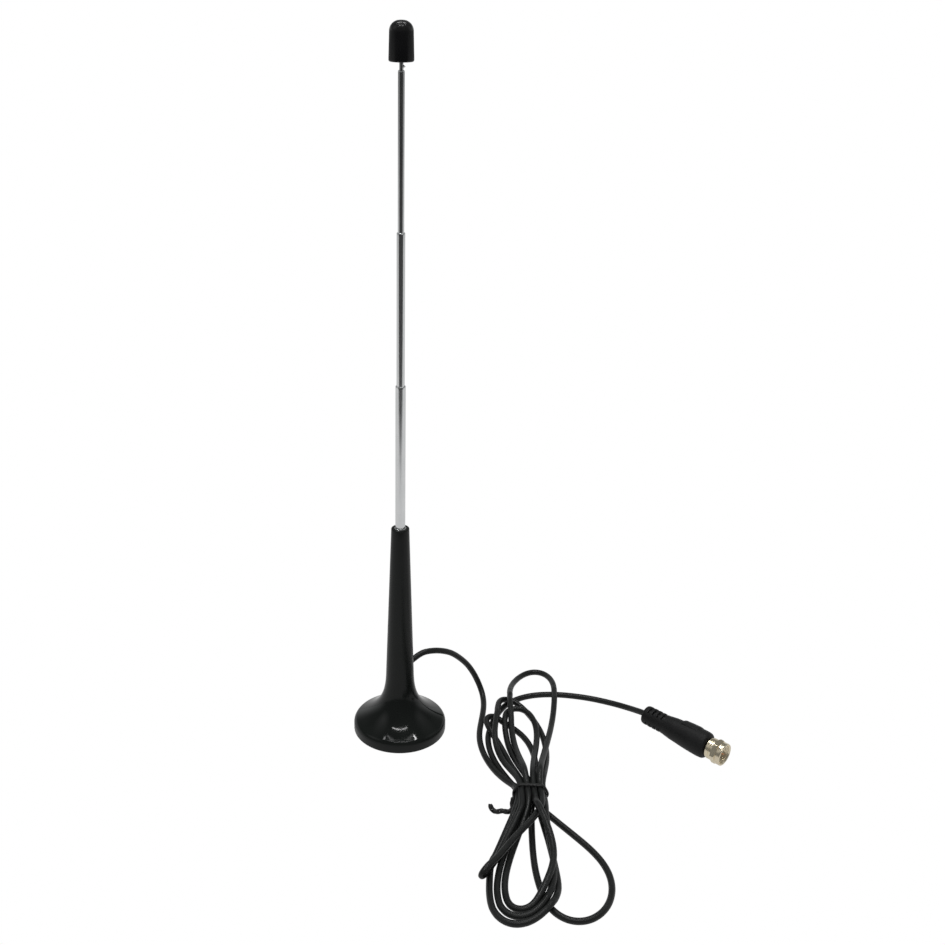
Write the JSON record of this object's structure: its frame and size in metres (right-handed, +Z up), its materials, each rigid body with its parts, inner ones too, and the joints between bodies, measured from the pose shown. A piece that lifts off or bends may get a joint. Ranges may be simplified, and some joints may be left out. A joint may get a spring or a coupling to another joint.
{
  "type": "telescopic whip antenna",
  "caption": "Indoor TV antenna: telescopic whip on a tapered mast with a round magnetic foot, and a tied coax lead ending in a screw-on plug.",
  "frame": {"origin": "centre of the foot pad's underside, on the mast's axis", "axes": "+Z up along the mast and whip, +X from the mast towards the coiled lead and plug, -Y towards the viewer"},
  "size_m": [0.1971, 0.2049, 0.3649],
  "materials": {
    "foot_and_mast": "black moulded ABS, satin",
    "foot_pad": "matt black rubber",
    "ring_magnet": "dark grey sintered ferrite",
    "yoke_plate": "zinc-plated steel",
    "outer_tube": "chromed brass tube",
    "tube_end_plug": "turned brass",
    "fixing_screw": "plated steel",
    "lock_washer": "spring steel",
    "solder_lug": "tinned brass",
    "mast_dielectric": "white polyethylene",
    "feed_conductor": null,
    "braid_pigtail": null,
    "coax_lead": "black PVC jacket, satin",
    "twist_tie": "black plastic over steel wire",
    "plug_boot": "matt black flexible PVC",
    "plug_body": "nickel-plated zinc",
    "plug_insulator": "white polyethylene",
    "plug_dielectric": "white polyethylene",
    "centre_pin": null,
    "whip_tube_lower": "chromed brass tube",
    "friction_sleeve_lower": null,
    "whip_tube_middle": "chromed brass tube",
    "friction_sleeve_middle": null,
    "whip_tube_upper": "chromed brass tube",
    "friction_sleeve_upper": null,
    "tip_rod": "chromed rod",
    "friction_sleeve_tip": null,
    "tip_cap": "black moulded plastic, glossy",
    "coupling_nut": "nickel plate, warm"
  },
  "bodies": {
    "foot": {"foot_and_mast": "foot_and_mast", "foot_pad": "foot_pad", "ring_magnet": "ring_magnet", "yoke_plate": "yoke_plate", "outer_tube": "outer_tube", "tube_end_plug": "tube_end_plug", "fixing_screw": "fixing_screw", "lock_washer": "lock_washer", "solder_lug": "solder_lug", "mast_dielectric": "mast_dielectric", "feed_conductor": "feed_conductor", "braid_pigtail": "braid_pigtail", "coax_lead": "coax_lead", "twist_tie": "twist_tie", "plug_boot": "plug_boot", "plug_body": "plug_body", "plug_insulator": "plug_insulator", "plug_dielectric": "plug_dielectric", "centre_pin": "centre_pin"},
    "lower_section": {"whip_tube_lower": "whip_tube_lower", "friction_sleeve_lower": "friction_sleeve_lower"},
    "middle_section": {"whip_tube_middle": "whip_tube_middle", "friction_sleeve_middle": "friction_sleeve_middle"},
    "upper_section": {"whip_tube_upper": "whip_tube_upper", "friction_sleeve_upper": "friction_sleeve_upper"},
    "tip_section": {"tip_rod": "tip_rod", "friction_sleeve_tip": "friction_sleeve_tip", "tip_cap": "tip_cap"},
    "nut": {"coupling_nut": "coupling_nut"}
  },
  "joints": [
    {"name": "lower_section_slide", "type": "slide", "parent": "foot", "child": "lower_section", "axis": [0, 0, 1], "range_m": [-0.07, 0]},
    {"name": "middle_section_slide", "type": "slide", "parent": "lower_section", "child": "middle_section", "axis": [0, 0, 1], "range_m": [-0.0705, 0]},
    {"name": "upper_section_slide", "type": "slide", "parent": "middle_section", "child": "upper_section", "axis": [0, 0, 1], "range_m": [-0.0695, 0]},
    {"name": "tip_section_slide", "type": "slide", "parent": "upper_section", "child": "tip_section", "axis": [0, 0, 1], "range_m": [-0.0003, 0.0662]},
    {"name": "nut_spin", "type": "hinge", "parent": "foot", "child": "nut", "pos_m": [0.16522, -0.03247, 0.00696], "axis": [0.7116, -0.7016, -0.0369], "continuous": true}
  ]
}
